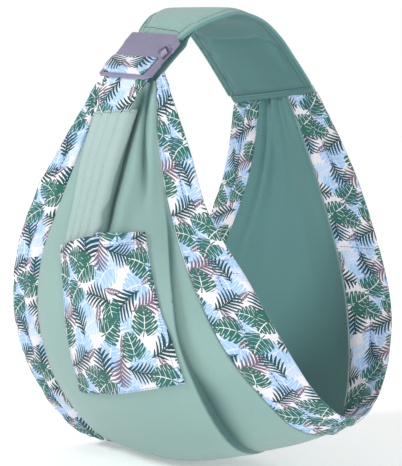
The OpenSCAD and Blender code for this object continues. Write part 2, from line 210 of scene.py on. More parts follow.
def leaf_shape(kind):
    """Ink inside a leaf whose stem runs along x from -1 to its tip at 1."""
    g = bpy.data.node_groups.new(kind, "ShaderNodeTree")
    for name in ("At", "Centre"):
        g.interface.new_socket(name, in_out="INPUT", socket_type="NodeSocketVector")
    for name in ("Turn", "Size"):
        g.interface.new_socket(name, in_out="INPUT", socket_type="NodeSocketFloat")
    g.interface.new_socket("Ink", in_out="OUTPUT", socket_type="NodeSocketFloat")
    inside = g.nodes.new("NodeGroupInput").outputs
    out = g.nodes.new("NodeGroupOutput")
    half = (REPEAT / 2, REPEAT / 2, 1)
    p = vec(g, "SUBTRACT", inside["At"], inside["Centre"])
    p = vec(g, "WRAP", p, half, tuple(-h for h in half))
    spin = g.nodes.new("ShaderNodeVectorRotate")
    spin.rotation_type = "Z_AXIS"
    g.links.new(p, spin.inputs["Vector"])
    g.links.new(inside["Turn"], spin.inputs["Angle"])
    grow = g.nodes.new("ShaderNodeVectorMath")
    grow.operation = "SCALE"
    g.links.new(spin.outputs[0], grow.inputs[0])
    g.links.new(inside["Size"], grow.inputs["Scale"])
    split = g.nodes.new("ShaderNodeSeparateXYZ")
    g.links.new(grow.outputs[0], split.inputs[0])
    x, side = Val(g, split.outputs[0]), Val(g, split.outputs[1])
    bend = (x * x - 0.5) * 0.16
    y = abs(side + bend)
    if kind == "frond":
        # Long pointed leaflets that sweep towards the tip
        root = x - y * 0.95 + y * y * 0.4
        reach = (root * root).flip().power(0.6) * (root * -0.2 + 0.78)
        share = y.op("DIVIDE", reach + 0.001)
        blades = (root * 3.7 + side.op("SIGN") * 0.2).saw() < share.flip().power(0.5) * 0.41
        stem = (y < 0.035) * (abs(x) < 1.08)
        ink = ((y < reach) * blades).both(stem)
    elif kind == "monstera":
        # A heart with curved slits from its edge and pale veins
        root = x - y * 0.35 - y * y * 0.25
        reach = x.flip().power(0.7) * (x + 1.0).power(0.3) * 0.93
        share = y.op("DIVIDE", reach + 0.001)
        lobe = (root * 2.6).saw()
        slit = lobe > ((share * -0.42) + 0.7)
        vein = (lobe < 0.05) * (share < 0.75)
        notch = (x < -0.55) * (y < (x + 0.55) * -0.7)
        ink = (y < reach) * slit.both(vein).both(y < 0.035).both(notch).flip()
        ink = ink.both((y < 0.04) * (x < -0.55) * (x > -1.05))
    else:
        reach = (x * x).flip() * 0.3
        vein = ((x - y) * 3.4).saw() < 0.07
        ink = (y < reach) * vein.both(y < 0.035).flip()
    g.links.new(ink.socket, out.inputs["Ink"])
    return g


INK = {
    "pale": (196, 217, 242),
    "sky": (166, 203, 240),
    "mauve": (122, 104, 122),
    "dark": (36, 78, 80),
    "teal": (48, 112, 98),
}
# kind, x, y, turn in degrees, half length in mm, ink
LEAVES = [
    ("monstera", 36, 20, 95, 18, "sky"),
    ("monstera", 79, 36, 60, 19, "sky"),
    ("frond", 110, 10, 130, 19, "sky"),
    ("monstera", 122, 48, 80, 17, "sky"),
    ("monstera", 57, 3, 200, 15, "pale"),
    ("frond", 90, 57, 250, 19, "mauve"),
    ("blade", 47, 36, 215, 13, "mauve"),
    ("blade", 20, 57, 300, 13, "mauve"),
    ("blade", 100, 30, 70, 13, "mauve"),
    ("frond", 64, 51, 85, 21, "dark"),
    ("frond", 25, 41, 28, 19, "dark"),
    ("frond", 115, 62, 340, 17, "dark"),
    ("monstera", 7, 9, 80, 17, "teal"),
    ("monstera", 88, 10, 30, 17, "teal"),
    ("monstera", 112, 33, 95, 16, "teal"),
    ("monstera", 42, 60, 150, 14, "teal"),
]
# The other half of the repeat holds the same leaves, moved along and turned
MOVE_X, MOVE_Y, MOVE_TURN = 52, 64, 128
LEAVES += [
    (kind, x + MOVE_X, y + MOVE_Y, turn + MOVE_TURN, size, ink)
    for kind, x, y, turn, size, ink in LEAVES
]
LEAVES.sort(key=lambda leaf: list(INK).index(leaf[5]))


def leaf_print(tree, at, ground):
    """Colour socket of the printed pattern at a position in mm."""
    shapes = {}
    colour = ground
    for kind, x, y, turn, size, ink in LEAVES:
        if kind not in shapes:
            shapes[kind] = bpy.data.node_groups.get(kind) or leaf_shape(kind)
        leaf = tree.nodes.new("ShaderNodeGroup")
        leaf.node_tree = shapes[kind]
        tree.links.new(at, leaf.inputs["At"])
        leaf.inputs["Centre"].default_value = (x, y, 0)
        leaf.inputs["Turn"].default_value = math.radians(turn)
        leaf.inputs["Size"].default_value = 1 / size
        colour = mixed(tree, leaf.outputs[0], colour, linear(INK[ink]))
    return colour


# ---- materials ----
def noise(tree, at, scale, detail=3.0):
    n = tree.nodes.new("ShaderNodeTexNoise")
    n.inputs["Scale"].default_value = scale
    n.inputs["Detail"].default_value = detail
    n.inputs["Roughness"].default_value = 0.55
    tree.links.new(at, n.inputs["Vector"])
    return Val(tree, n.outputs[0])


def shaded(tree, low, high, by):
    """Colour between two, by a number from 0 to 1."""
    return mixed(tree, by.socket, linear(low), linear(high))


def begin(name):
    m = bpy.data.materials.new(name)
    m.use_nodes = True
    tree = m.node_tree
    return m, tree, tree.nodes["Principled BSDF"]


def raised(tree, shader, height, distance, strength):
    b = tree.nodes.new("ShaderNodeBump")
    b.inputs["Strength"].default_value = strength
    b.inputs["Distance"].default_value = distance
    tree.links.new(height.socket, b.inputs["Height"])
    tree.links.new(b.outputs[0], shader.inputs["Normal"])


def cloth_material(name, low, high, thread=0.62, printed=False, sheen=0.25, deep=None):
    """Plain weave with slubs, soft colour variation and a little sheen. Where a mesh
    has the painted fold-shade attribute, painted shade turns the colour towards deep in its folds."""
    m, tree, shader = begin(name)
    uv = tree.nodes.new("ShaderNodeUVMap")
    uv.uv_map = "Cut"
    at = vec(tree, "SCALE", uv.outputs[0], 1000.0)
    place = tree.nodes.new("ShaderNodeTexCoord").outputs["Object"]
    broad = noise(tree, place, 9.0, 3.0)
    slubs = []
    for stretch in ((0.12, 1.9, 1.0), (1.9, 0.12, 1.0)):
        slub = tree.nodes.new("ShaderNodeMapping")
        slub.inputs["Scale"].default_value = stretch
        tree.links.new(at, slub.inputs["Vector"])
        slubs.append(noise(tree, slub.outputs[0], 1.0, 2.0))
    weft, warp = slubs
    tone = broad * 0.5 + weft * 0.3 + warp * 0.3
    colour = shaded(tree, low, high, tone)
    if deep:
        # Painted shade: the fold-shade attribute turns the colour towards deep where the cloth lies
        # in a fold
        painted_fold_shade = tree.nodes.new("ShaderNodeAttribute")
        painted_fold_shade.attribute_name = "painted_fold_shade"
        colour = mixed(tree, painted_fold_shade.outputs["Fac"], colour, linear(deep))
    if printed:
        colour = leaf_print(tree, at, colour)
        worn = shaded(tree, (232, 232, 234), (255, 255, 255), tone)
        colour = mixed(tree, 1.0, colour, worn, "MULTIPLY")
    tree.links.new(colour, shader.inputs["Base Color"])
    split = tree.nodes.new("ShaderNodeSeparateXYZ")
    tree.links.new(at, split.inputs[0])
    k = math.pi / thread
    over = (Val(tree, split.outputs[0]) * k).op("SINE")
    under = (Val(tree, split.outputs[1]) * k).op("SINE")
    knit = over * under
    raised(tree, shader, knit * 0.35 + weft * 0.5 + warp * 0.5, 0.00025, 0.55)
    tree.links.new((tone * 0.2 + 0.72).socket, shader.inputs["Roughness"])
    shader.inputs["Sheen Weight"].default_value = sheen
    shader.inputs["Sheen Roughness"].default_value = 0.45
    shader.inputs["Specular IOR Level"].default_value = 0.25
    return m


def thread_material(name, low, high):
    m, tree, shader = begin(name)
    place = tree.nodes.new("ShaderNodeTexCoord").outputs["Object"]
    n = noise(tree, place, 900.0, 2.0)
    tree.links.new(shaded(tree, low, high, n), shader.inputs["Base Color"])
    raised(tree, shader, n, 0.0002, 0.5)
    shader.inputs["Roughness"].default_value = 0.6
    shader.inputs["Sheen Weight"].default_value = 0.2
    return m


def plastic_material(name, low, high):
    m, tree, shader = begin(name)
    place = tree.nodes.new("ShaderNodeTexCoord").outputs["Object"]
    broad = noise(tree, place, 45.0, 3.0)
    fine = noise(tree, place, 2600.0, 2.0)
    tree.links.new(shaded(tree, low, high, broad), shader.inputs["Base Color"])
    tree.links.new((broad * 0.16 + fine * 0.12 + 0.28).socket, shader.inputs["Roughness"])
    raised(tree, shader, fine, 0.00006, 0.6)
    shader.inputs["Specular IOR Level"].default_value = 0.5
    return m


# The pouch cotton's deep colour is painted shade for its folds
COTTON = cloth_material(
    "seafoam_cotton", (124, 156, 151), (148, 178, 172), deep=(76, 114, 113)
)
LINING = cloth_material("teal_lining", (80, 124, 123), (99, 143, 141), sheen=0.2)
PRINT = cloth_material(
    "leaf_print_cotton", (229, 224, 231), (241, 237, 242), printed=True, sheen=0.15
)
TUCKED = cloth_material("pin_tucked_cotton", (144, 167, 164), (168, 189, 185))
BINDING = cloth_material("binding_tape", (88, 134, 132), (110, 155, 151), 0.9)
THREAD = thread_material("thread_seafoam", (82, 118, 116), (106, 140, 136))
THREAD_DARK = thread_material("thread_teal", (52, 92, 94), (72, 114, 114))
THREAD_GREY = thread_material("thread_grey", (46, 68, 110), (70, 94, 138))
PLASTIC = plastic_material("buckle_plastic", (124, 120, 146), (142, 138, 164))
# A lighter copy of the buckle plastic: painted highlight on the latch arms and their grips
PLASTIC_PAINTED_HIGHLIGHT = plastic_material("buckle_plastic_painted_highlight", (150, 144, 166), (168, 162, 184))


# ---- curves, as in the CAD source ----
def unit(v):
    return v / np.maximum(np.linalg.norm(v, axis=-1, keepdims=True), 1e-9)


def dot(a, b):
    return np.sum(a * b, axis=-1, keepdims=True)


def at(table, s):
    table = np.asarray(table, float)
    n = len(table) - 1
    q = np.clip(np.asarray(s, float), 0, 0.999999) * n
    i = np.floor(q).astype(int)
    t = (q - i)[..., None]
    a, b = table[np.maximum(i - 1, 0)], table[i]
    c, d = table[np.minimum(n, i + 1)], table[np.minimum(n, i + 2)]
    return 0.5 * (
        2 * b
        + (c - a) * t
        + (2 * a - 5 * b + 4 * c - d) * t**2
        + (3 * b - a - 3 * c + d) * t**3
    )


# Outer and inner edges of the two rails, from the front gather to the back hem
RIGHT_OUT = [
    [51, -130, -75], [74, -110, -165], [110, -115, -245], [165, -110, -320],
    [205, -100, -385], [230, -65, -450], [240, -15, -485], [232, 50, -480],
    [215, 110, -430], [180, 163, -350], [122, 175, -210], [69, 155, -92.6],
]  # fmt: skip
RIGHT_IN = [
    [38, -127, -84], [38, -124, -165], [60, -125, -250], [105, -140, -325],
    [150, -140, -395], [180, -105, -455], [195, -50, -500], [190, 30, -510],
    [172, 85, -452], [130, 133, -345], [70, 158, -215], [25, 149, -97.8],
]  # fmt: skip
LEFT_OUT = [
    [-40, -147, -86], [-85, -168, -165], [-130, -170, -230], [-170, -165, -315],
    [-195, -137, -405], [-205, -80, -495], [-200, 0, -560], [-195, 80, -530],
    [-180, 140, -440], [-160, 170, -340], [-120, 190, -215], [-66, 150, -104.6],
]  # fmt: skip
LEFT_IN = [
    [-26, -149, -92], [-54, -160, -165], [-80, -170, -230], [-115, -172, -310],
    [-140, -150, -395], [-150, -100, -485], [-150, -10, -562], [-140, 70, -530],
    [-130, 120, -440], [-110, 160, -345], [-65, 180, -215], [-22, 152, -100.6],
]  # fmt: skip
# How far the pouch stands out between the rails
BULGE = [1, 16, 32, 42, 45, 40, 30, 24, 20, 16, 10, 3]
# Strap stations from the buckle to the back hem: x, y and z of the underside, then the
# width, and how far the right edge is ahead of and above the left
PAD = [
    [-3, -75.8, -32.1, 66, 9, -5], [-1, -58, -18, 80, 6, -8], [0, -32, -6, 102, 3, -8],
    [0, 0, 0, 122, 0, -4], [0, 42, -11, 130, 0, 3], [0, 76, -33, 134, 0, 8],
    [0, 105, -59, 134, 0, 12], [0, 130, -83, 134, 0, 16], [1, 148, -103, 135, 0, 18],
]  # fmt: skip


def smooth(x, a, b):
    """0 before a, 1 after b."""
    t = np.clip((x - a) / (b - a), 0, 1)
    return t * t * (3 - 2 * t)


def hump(x, w):
    return np.exp(-((x / w) ** 2))


def ripple(v, seed):
    """Irregular waves of about 7 mm along a seam, from -1 to 1."""
    a = 2 * math.pi * v
    return 0.6 * np.sin(a / 7.1 + 2 * np.sin(a / 61 + seed)) + 0.4 * np.sin(
        a / 11.3 + 3 * seed
    )


def marks(s, *pairs):
    """A smooth line through (s, value) pairs."""
    xs, ys = zip(*pairs)
    k = np.linspace(-1, 1, 5) * 0.012
    return np.mean([np.interp(s + d, xs, ys) for d in k], axis=0)


def pan(u, s):
    l, r = at(LEFT_IN, s), at(RIGHT_IN, s)
    t = (
        at(LEFT_IN, s + 0.01) + at(RIGHT_IN, s + 0.01)
        - at(LEFT_IN, s - 0.01) - at(RIGHT_IN, s - 0.01)
    )  # fmt: skip
    n = unit(np.cross(t, r - l))
    swell = at([[b] for b in BULGE], s)
    return l + (r - l) * u[..., None] + n * swell * (1 - (2 * u - 1) ** 2)[..., None]


def width(s):
    return np.linalg.norm(at(RIGHT_IN, s) - at(LEFT_IN, s), axis=-1)


def normal_of(f, u, s):
    du, ds = 0.004, 0.0016
    a = f(u, np.minimum(s + ds, 1)) - f(u, np.maximum(s - ds, 0))
    b = f(np.minimum(u + du, 1), s) - f(np.maximum(u - du, 0), s)
    return unit(np.cross(a, b))


def crease(s):
    """Where the long crease lies, from the right rail past the pocket to the seat."""
    return marks(
        s, (0.1, 0.985), (0.15, 0.97), (0.2, 0.95), (0.27, 0.89), (0.335, 0.84),
        (0.4, 0.82), (0.443, 0.795), (0.509, 0.76), (0.578, 0.722), (0.62, 0.7),
    )  # fmt: skip


def valley(s):
    """Where the deep fold beside the pin-tucked strap lies."""
    return marks(s, (0, 0.72), (0.05, 0.67), (0.1, 0.6), (0.175, 0.525), (0.3, 0.52))


def short_fold(s):
    """Where the shorter fold between that one and the right rail lies."""
    return marks(s, (0, 0.87), (0.06, 0.85), (0.105, 0.83), (0.17, 0.81))


def fold(u, s):
    """How far the folds carry the pouch cloth out (+) or in (-)."""
    w = width(s)
    h = 0 * u * s
    d = (u - valley(s)) * w
    deep = smooth(s, 0.004, 0.03) * (1 - smooth(s, 0.19, 0.27))
    h += deep * (-14 * np.where(d < 0, hump(d, 4.5), hump(d, 9)) + 5 * hump(d - 19, 8))
    d = (u - short_fold(s)) * w
    h += (1 - smooth(s, 0.08, 0.19)) * (-11 * hump(d, 4.5) + 3.5 * hump(d - 9, 5))
    d = (u - crease(s)) * w
    edge = smooth(s, 0.17, 0.36) * (1 - smooth(s, 0.5, 0.6))
    near = smooth(s, 0.09, 0.2) * (1 - smooth(s, 0.46, 0.58))
    over = 8.5 * np.exp(-np.abs(d) / 20) * (1 - smooth(d, 0, 2.5))
    under = -marks(s, (0.2, 4), (0.39, 4.5), (0.44, 8), (0.6, 5)) * (
        (1 - smooth(d, 5, 44)) * smooth(d, 0, 2.5)
    )
    h += edge * over + near * under
    # Soft drape of the panel
    h += 1.6 * hump((u - 0.1) * w, 14) * smooth(s, 0.15, 0.3) * (1 - smooth(s, 0.4, 0.5))
    h += 1.2 * np.sin(7 * s * u + 30 * s + 5 * u) * smooth(s, 0.42, 0.5) * (
        1 - smooth(s, 0.9, 0.96)
    )
    # Puckers beside the seams to the rails
    for side, k in ((u, 0.0), (1 - u, 4.0)):
        h += 0.7 * ripple(900 * s, k) * hump(side * w - 5, 5) * smooth(s, 0.02, 0.08)
    # Gathers running down from the back hem
    rays = sum(
        a * np.cos(2 * math.pi * (n * u + o))
        for a, n, o in ((1.1, 3, 0.1), (0.8, 5, 0.35), (0.4, 8, 0.6))
    )
    h += rays * smooth(s, 0.72, 0.97)
    d = (u - marks(s, (0.8, 0.12), (0.9, 0.13), (1, 0.2))) * w
    h += smooth(s, 0.78, 0.92) * (4.5 * hump(d, 6) - 2.5 * hump(d - 12, 6))
    return h * (1 - (2 * u - 1) ** 8)


def painted_fold_shade(u, s):
    """Painted shade in the folds: how much the cloth's colour is darkened, from 0 to 1."""
    w = width(s)
    d = (u - valley(s)) * w
    deep = smooth(s, 0.004, 0.04) * (1 - smooth(s, 0.17, 0.27))
    h = deep * np.where(d < 0, hump(d, 3), hump(np.maximum(d - 2, 0), 9))
    d = (u - crease(s)) * w
    near = smooth(s, 0.12, 0.24) * (1 - smooth(s, 0.5, 0.62))
    # The painted shade is narrow beside the pocket and opens out below it
    wide = marks(s, (0.3, 5), (0.39, 7), (0.43, 18), (0.5, 17), (0.57, 6), (0.62, 3))
    h += near * smooth(d, -1.2, 0.2) * hump(np.maximum(d - wide / 3, 0), wide)
    d = (u - short_fold(s)) * w
    return h + 0.9 * smooth(s, 0.004, 0.03) * (1 - smooth(s, 0.1, 0.17)) * hump(d, 3.5)


def lean(u, s):
    """How far sideways the crease's edge hangs over the valley beside it."""
    d = (u - crease(s)) * width(s)
    edge = smooth(s, 0.2, 0.36) * (1 - smooth(s, 0.54, 0.62))
    return edge * 8.0 * hump(d + 0.5, 4.0)


def cloth(u, s):
    v = np.clip(u + lean(u, s) / width(s), 0, 1)
    return pan(v, s) + normal_of(pan, v, s) * fold(u, s)[..., None]


def on_cloth(u, s, h=0.0):
    u, s = np.broadcast_arrays(np.asarray(u, float), np.asarray(s, float))
    h = np.broadcast_to(h, u.shape)
    return cloth(u, s) + normal_of(cloth, u, s) * h[..., None]


def lengths(path):
    """Distance along a path from its start to each of its points."""
    return np.r_[0, np.cumsum(np.linalg.norm(np.diff(path, axis=0), axis=-1))]


def along(f, a, b, step):
    """Stations from a to b about step apart on the line f, and their lengths."""
    s = np.linspace(a, b, 500)
    run = lengths(f(s))
    q = np.linspace(0, run[-1], max(2, round(run[-1] / step)) + 1)
    return np.interp(q, run, s), q


# ---- meshes ----
class Piece:
    """Collects grids of points, in mm, into one mesh with its cut pattern in mm."""

    def __init__(self):
        self.v, self.f, self.uv, self.m = [], [], [], []

    def add(self, points, faces, cut, mats):
        base = sum(len(p) for p in self.v)
        self.v.append(np.asarray(points, float).reshape(-1, 3))
        faces = np.asarray(faces, int)
        a, b, c = (self.v[-1][faces[:, k]] for k in (0, 1, 2))
        d = self.v[-1][faces[:, 3 if faces.shape[1] > 3 else 2]]
        volume = np.sum(np.cross(a, b) * c) + np.sum(np.cross(a, c) * d)
        if volume < 0:
            faces, cut = faces[:, ::-1], cut[:, ::-1]
        self.f.append(faces + base)
        self.uv.append(cut)
        self.m.append(np.broadcast_to(mats, len(faces)))

    def slab(self, outer, inner, cut, mats=(0, 0), cut_in=None):
        """A closed sheet between two grids (n, m, 3), with its cut pattern (n, m, 2)."""
        n, m = outer.shape[:2]
        ring = np.concatenate([outer, inner[:, ::-1]], 1)
        cut_in = cut if cut_in is None else cut_in
        uv = np.concatenate([cut, cut_in[:, ::-1], cut[:, :1]], 1)
        r = 2 * m
        i, k = (x.ravel() for x in np.meshgrid(range(n - 1), range(r), indexing="ij"))
        q = (k + 1) % r
        faces = np.stack([i * r + k, i * r + q, (i + 1) * r + q, (i + 1) * r + k], -1)
        corners = np.stack([uv[i, k], uv[i, k + 1], uv[i + 1, k + 1], uv[i + 1, k]], 1)
        col = np.full(r, mats[0])
        col[m : r - 1] = mats[1]
        mat = col[k]
        j = np.arange(m - 1)
        for e, turn in ((0, True), (n - 1, False)):
            cap = np.stack([e * r + j, e * r + j + 1, e * r + r - 2 - j, e * r + r - 1 - j], -1)
            tex = np.stack([cut[e, j], cut[e, j + 1], cut_in[e, j + 1], cut_in[e, j]], 1)
            if turn:
                cap, tex = cap[:, ::-1], tex[:, ::-1]
            faces, corners = np.vstack([faces, cap]), np.vstack([corners, tex])
            mat = np.r_[mat, np.full(len(j), mats[0])]
        self.add(ring, faces, corners, mat)

    def stitches(self, path, normal, mat=0, pitch=4.2, length=2.9, radius=0.34, lift=0.12):
        """Raised thread stitches along a line on a surface."""
        run = lengths(path)
        mid = np.arange(pitch, run[-1] - pitch / 2, pitch)
        if not len(mid):
            return
        get = lambda q, x: np.stack([np.interp(q, run, x[:, k]) for k in range(3)], -1)
        c, n = get(mid, path), unit(get(mid, normal))
        t = unit(get(mid + 0.5, path) - get(mid - 0.5, path))
        w = np.cross(t, n)
        c = c + n * lift
        pts = []
        for x, r in ((-0.5, 0.25), (-0.3, 1.0), (0.3, 1.0), (0.5, 0.25)):
            for a in range(5):
                b = 2 * math.pi * a / 5
                pts.append(
                    c + t * (x * length) + (w * math.cos(b) + n * math.sin(b)) * radius * r
                )
        pts = np.stack(pts, 1)
        k = len(c)
        faces = []
        for i in range(3):
            for a in range(5):
                b = (a + 1) % 5
                faces.append([i * 5 + a, i * 5 + b, i * 5 + 5 + b, i * 5 + 5 + a])
        faces = np.array(faces)[None] + (np.arange(k) * 20)[:, None, None]
        self.add_loose(pts.reshape(-1, 3), faces.reshape(-1, 4), mat, k, 20)

    def add_loose(self, points, faces, mat, k, size):
        """Many small closed pieces; their open ends are closed with pentagons."""
        base = sum(len(p) for p in self.v)
        self.v.append(points)
        pa, pb, pc = (points[faces[: size - 5, j]] for j in range(3))
        mid = points[:size].mean(0)
        out = np.sum(np.cross(pb - pa, pc - pa) * (pa - mid)) > 0
        faces = faces if out else faces[:, ::-1]
        self.f.append(faces + base)
        self.uv.append(np.zeros((len(faces), 4, 2)))
        self.m.append(np.full(len(faces), mat))
        ends = []
        for i in range(k):
            o = base + i * size
            ends.append([o + 4, o + 3, o + 2, o + 1, o])
            ends.append([o + 15, o + 16, o + 17, o + 18, o + 19])
        ends = np.array(ends)
        ends = ends if out else ends[:, ::-1]
        self.f.append(ends)
        self.uv.append(np.zeros((len(ends), 5, 2)))
        self.m.append(np.full(len(ends), mat))

    def tube(self, path, radius, up, sides=8):
        """A closed round cord along a path."""
        t = unit(np.gradient(path, axis=0))
        w = unit(np.cross(t, up))
        n = np.cross(w, t)
        ends = np.ones(len(path))
        ends[0] = ends[-1] = 0.35
        a = np.arange(sides) * 2 * math.pi / sides
        ring = (
            path[:, None]
            + w[:, None] * (np.cos(a)[None, :, None] * radius * ends[:, None, None])
            + n[:, None] * (np.sin(a)[None, :, None] * radius * ends[:, None, None])
        )
        half = sides // 2
        run = lengths(path)
        cut = np.stack(
            [
                np.broadcast_to(np.arange(half) * radius, (len(path), half)),
                np.broadcast_to(run[:, None], (len(path), half)),
            ],
            -1,
        )
        self.slab(ring[:, :half], ring[:, half:][:, ::-1], cut)

    def make(self, name, mats, body, slot, replaces=(), ride=True):
        mesh = bpy.data.meshes.new(name)
        v = np.concatenate(self.v) / 1000
        faces = [row for f in self.f for row in f.tolist()]
        mesh.from_pydata(v.tolist(), [], faces)
        mesh.polygons.foreach_set("material_index", np.concatenate(self.m).astype(np.int32))
        mesh.polygons.foreach_set("use_smooth", np.ones(len(faces), bool))
        layer = mesh.uv_layers.new(name="Cut")
        cut = np.concatenate([c.reshape(-1, 2) for c in self.uv]) / 1000
        layer.data.foreach_set("uv", cut.astype(np.float32).ravel())
        for m in mats:
            mesh.materials.append(m)
        mesh.validate()
        ob = bpy.data.objects.new(name, mesh)
        scene.collection.objects.link(ob)
        if ride:
            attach(ob, body)
        if replaces:
            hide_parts(*replaces)
        return ob


def points_of(ob):
    co = np.empty(len(ob.data.vertices) * 3)
    ob.data.vertices.foreach_get("co", co)
    return co.reshape(-1, 3)


def put_points(ob, co):
    ob.data.vertices.foreach_set("co", co.ravel())
    ob.data.update()


def puff(ob, held, cap, pressure, shrink, frames=20):
    """Swells a padded piece as cloth under pressure, its seams held, then applies it.
    No point moves further than cap, in mm."""
    before = points_of(ob)
    group = ob.vertex_groups.new(name="held")
    group.add([int(i) for i in np.nonzero(held)[0]], 1.0, "REPLACE")
    m = ob.modifiers.new("swell", "CLOTH")
    c = m.settings
    c.quality = 5
    c.mass = 0.15
    c.use_pressure = True
    c.uniform_pressure_force = pressure
    c.effector_weights.gravity = 0
    c.vertex_group_mass = "held"
    c.shrink_min = shrink
    m.point_cache.frame_start, m.point_cache.frame_end = 1, frames
    for f in range(1, frames + 1):
        scene.frame_set(f)
    shape = ob.evaluated_get(bpy.context.evaluated_depsgraph_get()).to_mesh()
    after = np.empty(before.size)
    shape.vertices.foreach_get("co", after)
    move = after.reshape(-1, 3) - before
    far = np.linalg.norm(move, axis=1, keepdims=True)
    put_points(ob, before + move * np.minimum(1, cap / 1000 / np.maximum(far, 1e-9)))
    ob.modifiers.remove(m)
    ob.vertex_groups.remove(group)
    scene.frame_set(1)


def smoothed(ob):
    m = ob.modifiers.new("smooth", "SUBSURF")
    m.levels = m.render_levels = 1


# ---- the four printed, padded rails ----
RAIL_MID = 6 / 11
RAIL_T = 10.0


def rail(name, O, I, a, b, crosses, start, seed):
    """A flat padded tube with a seam down its middle and cross seams at stations."""
    line = lambda s: (at(O, s) + at(I, s)) / 2
    s, run = along(line, a, b, 4.6)
    o, i = at(O, s), at(I, s)
    c, w, half = (o + i) / 2, unit(o - i), np.linalg.norm(o - i, axis=-1) / 2
    d = (at(O, s + 0.01) + at(I, s + 0.01) - at(O, s - 0.01) - at(I, s - 0.01)) / 2
    t = unit(d - w * dot(d, w))
    n = np.cross(t, w)
    m = 15
    x = np.linspace(1, -1, m)
    x = np.sign(x) * np.abs(x) ** 0.9
    quiet = np.ones_like(run)
    for k in crosses:
        quiet *= 1 - 0.78 * hump(run - np.interp(k, s, run), 3.2)
    quiet *= 1 - 0.35 * (hump(run, 5) + hump(run - run[-1], 5))
    z = 0.9 * (1 - np.abs(x) ** 5) ** 0.5 * (1 - 0.8 * hump(x * half[:, None], 3.2))
    z = z * (RAIL_T / 2 - 0.4) * quiet[:, None] + 0.5
    lateral = w[:, None] * (x[None, :] * (half[:, None] - 0.15))[..., None]
    p = Piece()
    across = x[None, :] * half[:, None] + 30
    cut = np.stack([across, np.broadcast_to(run[:, None] + start, across.shape)], -1)
    cut_in = np.stack([across * -1 + 75, cut[..., 1] + 31], -1)
    p.slab(
        c[:, None] + lateral + n[:, None] * z[..., None],
        c[:, None] + lateral - n[:, None] * z[..., None],
        cut, (0, 0), cut_in,
    )  # fmt: skip
    ob = p.make(name, [PRINT], "carrier", "leaf_print_cotton", [name, name + "_padding"])
    rows, cols = len(s), 2 * m
    held = np.zeros((rows, cols), bool)
    held[:, [0, m // 2, m - 1, m, m + m // 2, cols - 1]] = True
    held[[0, -1]] = True
    for k in crosses:
        held[np.argmin(np.abs(s - k))] = True
    puff(ob, held.ravel(), 2.2, 5.0, -0.04)
    co = points_of(ob).reshape(rows, cols, 3) * 1000
    # Puckers beside the middle seam and the edges, fading between them
    far = np.abs(x)[None, :] * half[:, None]
    close = hump(far - 4, 4) + 0.8 * hump(half[:, None] - far, 5)
    lift = 0.42 * ripple(run[:, None] + 0 * far, seed) * close * (far > 1)
    lift2 = 0.42 * ripple(run[:, None] + 3 + 0 * far, seed + 1) * close * (far > 1)
    co[:, :m] += n[:, None] * lift[..., None]
    co[:, m:] -= n[:, None] * lift2[:, ::-1][..., None]
    put_points(ob, co.reshape(-1, 3) / 1000)
    smoothed(ob)
    q = Piece()
    k = m // 2
    for side, col in ((1, k), (-1, m + (m - 1 - k))):
        line = (co[2:-2, col - 1] + 4 * co[2:-2, col] + co[2:-2, col + 1]) / 6
        q.stitches(line, n[2:-2] * side, 0, 5.0, 3.6, 0.62, 0.35)
        for j in crosses:
            row = np.argmin(np.abs(s - j))
            ids = np.arange(1, m - 1) + (0 if side > 0 else m)
            line = (co[row - 1, ids] + 4 * co[row, ids] + co[row + 1, ids]) / 6
            q.stitches(line, np.repeat(n[row][None] * side, len(ids), 0), 0,
                       3.8, 2.7, 0.46, 0.3)  # fmt: skip
    q.make(name + "_stitches", [THREAD_GREY], "carrier", "leaf_print_cotton")


rail("rail_left_front", LEFT_OUT, LEFT_IN, 0.001, RAIL_MID - 0.001, (0.3,), 12, 1)
rail("rail_left_back", LEFT_OUT, LEFT_IN, RAIL_MID + 0.001, 0.998, (0.8,), 40, 2)
rail("rail_right_front", RIGHT_OUT, RIGHT_IN, 0.001, RAIL_MID - 0.001,
     (0.085, 0.245, 0.262), 5, 3)  # fmt: skip
rail("rail_right_back", RIGHT_OUT, RIGHT_IN, RAIL_MID + 0.001, 0.997,
     (0.965, 0.895, 0.851), 51, 4)  # fmt: skip

# ---- the pouch, one cloth from the front gather to the back hem ----
FABRIC_T = 2.4
SEAT_SEAM = 0.6258
mid = lambda s: at(LEFT_IN, s) / 2 + at(RIGHT_IN, s) / 2
S, run = along(mid, 0.004, 0.997, 3.0)
edge = 0.3 / width(S)


def columns(s, edge, count):
    """Places across the pouch, closer together beside the folds."""
    u = np.linspace(edge, 1 - edge, 600)
    dense = 1 + 2.4 * hump((u - crease(s)) * width(s) - 1, 9)
    dense = dense + 1.4 * hump((u - valley(s)) * width(s), 12) * (s < 0.3)
    run = np.r_[0, np.cumsum((dense[1:] + dense[:-1]) / 2)]
    return np.interp(np.linspace(0, run[-1], count), run, u)


U = np.array([columns(s, e, 128) for s, e in zip(S, edge)])
SS = np.broadcast_to(S[:, None], U.shape)
ridge = 0.5 * hump(run - np.interp(SEAT_SEAM, S, run), 4)
centre = on_cloth(U, SS)
facing = normal_of(cloth, U, SS)
cut = np.stack([(U - 0.5) * width(S)[:, None], np.broadcast_to(run[:, None], U.shape)], -1)
thick = (FABRIC_T / 2 + ridge)[:, None, None]
outside, inside_ = centre + facing * thick, centre - facing * FABRIC_T / 2
piece = Piece()
piece.slab(outside, inside_, cut, (0, 1))
pouch = piece.make(
    "pouch_cloth", [COTTON, LINING], "carrier", "seafoam_cotton",
    ["front_panel", "seat_panel", "back_panel"],
)  # fmt: skip
# Painted shade for the folds, on the outer cloth only; the lining side gets none
shade = pouch.data.attributes.new("painted_fold_shade", "FLOAT", "POINT")
dark = painted_fold_shade(U, SS)
shade.data.foreach_set("value", np.concatenate([dark, 0 * dark], 1).ravel().astype(np.float32))
q = Piece()
for off in (-3.5, 3.5):
    row = np.argmin(np.abs(run - np.interp(SEAT_SEAM, S, run) - off))
    q.stitches(outside[row], facing[row], 0, 4.0, 2.8, 0.3)
q.make("pouch_stitches", [THREAD], "carrier", "seafoam_cotton")

